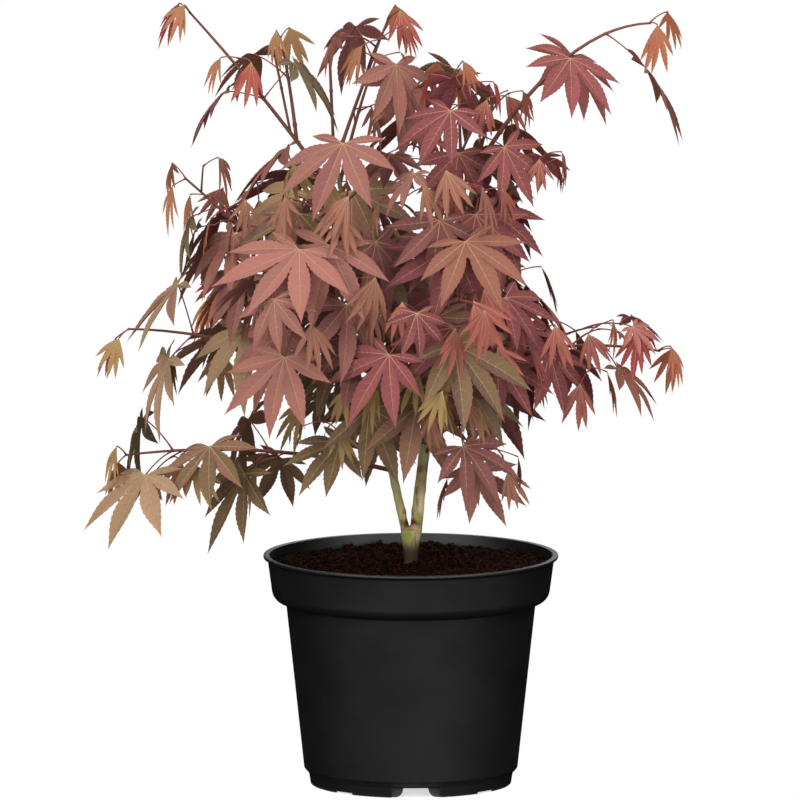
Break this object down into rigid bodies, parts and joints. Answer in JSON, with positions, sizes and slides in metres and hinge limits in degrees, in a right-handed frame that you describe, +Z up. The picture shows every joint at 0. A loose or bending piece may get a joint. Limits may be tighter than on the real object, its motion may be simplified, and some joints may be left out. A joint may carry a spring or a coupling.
{
  "type": "potted japanese maple",
  "caption": "Young Japanese maple with two stems and a spreading crown of purple-red lobed leaves, in a round black plastic nursery pot.",
  "frame": {"origin": "middle of the pot's flat underside, on the ground", "axes": "+Z up along the pot's axis; -Y is the front of the plant; +X is to the right as seen from the front"},
  "size_m": [0.3855, 0.3385, 0.5089],
  "materials": {
    "pot": "black moulded polypropylene, satin",
    "soil": "damp peat-free compost with wood fibre",
    "bark": "smooth young bark, olive green with brown patches",
    "shoot": "smooth young bark, reddish brown",
    "foliage_plum": "living leaf, plum red",
    "foliage_rose": "living leaf, dusty rose",
    "foliage_bronze": "living leaf, bronze green"
  },
  "bodies": {
    "root": {"bough_back_left": "shoot", "bough_back_middle": "shoot", "bough_back_right": "shoot", "bough_front_high_left": "shoot", "bough_front_left": "shoot", "bough_front_middle": "shoot", "bough_front_right": "shoot", "bough_left_low": "shoot", "bough_left_middle": "shoot", "bough_left_top": "shoot", "bough_left_upper": "shoot", "bough_right_low": "shoot", "bough_right_middle": "shoot", "bough_right_top": "shoot", "bough_right_upper": "shoot", "bough_top_inner": "shoot", "bough_top_middle": "shoot", "pot": "pot", "soil": "soil", "spray_back_high_left": "foliage_plum", "spray_back_high_right": "foliage_rose", "spray_back_left": "foliage_plum", "spray_back_low_left": "foliage_bronze", "spray_back_low_right": "foliage_plum", "spray_back_middle": "foliage_bronze", "spray_back_right": "foliage_rose", "spray_front_high": "foliage_plum", "spray_front_high_left": "foliage_plum", "spray_front_high_right": "foliage_rose", "spray_front_left": "foliage_plum", "spray_front_low": "foliage_bronze", "spray_front_low_left": "foliage_bronze", "spray_front_low_right": "foliage_plum", "spray_front_middle": "foliage_rose", "spray_front_right": "foliage_rose", "spray_left_inner": "foliage_bronze", "spray_left_low": "foliage_bronze", "spray_left_middle": "foliage_bronze", "spray_left_top": "foliage_plum", "spray_left_upper": "foliage_plum", "spray_right_low": "foliage_rose", "spray_right_middle": "foliage_rose", "spray_right_short": "foliage_rose", "spray_right_top": "foliage_rose", "spray_right_upper": "foliage_rose", "spray_top_back": "foliage_plum", "spray_top_front": "foliage_bronze", "spray_top_inner": "foliage_rose", "spray_top_left": "foliage_plum", "spray_top_middle": "foliage_plum", "stem_left": "bark", "stem_right": "bark", "stub_left": "shoot", "stub_middle": "shoot", "stub_right": "shoot", "trunk": "bark"}
  },
  "joints": []
}
